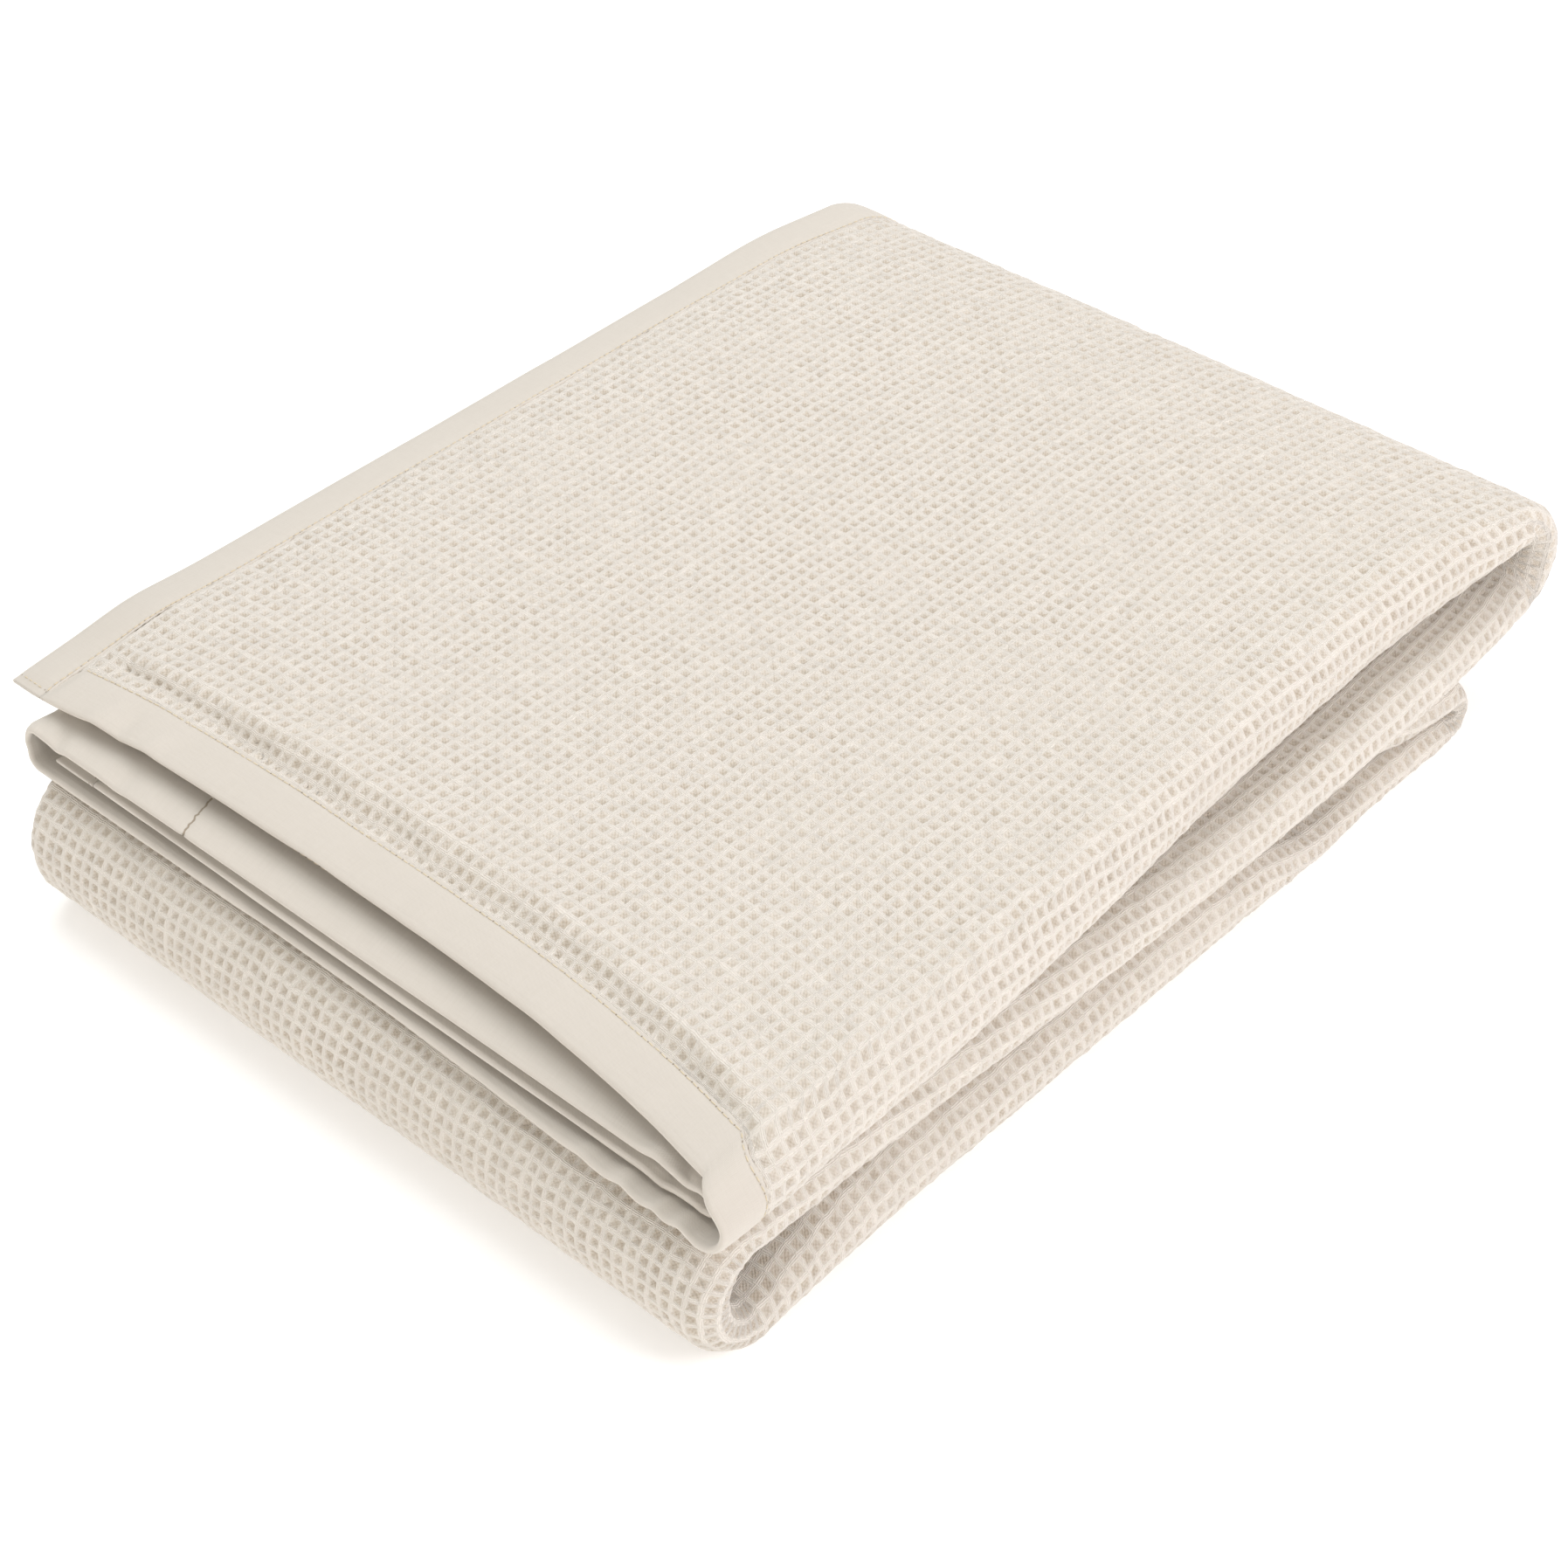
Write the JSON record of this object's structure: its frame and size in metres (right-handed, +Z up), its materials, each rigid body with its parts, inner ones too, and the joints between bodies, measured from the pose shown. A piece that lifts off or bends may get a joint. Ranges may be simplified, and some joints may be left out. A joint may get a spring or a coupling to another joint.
{
  "type": "waffle weave cotton blanket",
  "caption": "Folded waffle weave cotton blanket with a plain cotton binding along its edges, lying flat in an uneven stack of soft folds.",
  "frame": {"origin": "centre of the bounding box on the surface that the blanket lies on", "axes": "+X along the folded blanket's long side, towards its closed far end; +Y towards its bound long edge; +Z up"},
  "size_m": [0.4176, 0.3164, 0.0747],
  "materials": {
    "waffle_cotton": "matt waffle weave, cream with darker recesses",
    "plain_cotton": "matt fine plain weave, cream"
  },
  "bodies": {
    "root": {"waffle_panel": "waffle_cotton", "side_binding_a": "plain_cotton", "end_binding_b": "plain_cotton", "side_binding_c": "plain_cotton", "end_binding_d": "plain_cotton"}
  },
  "joints": []
}
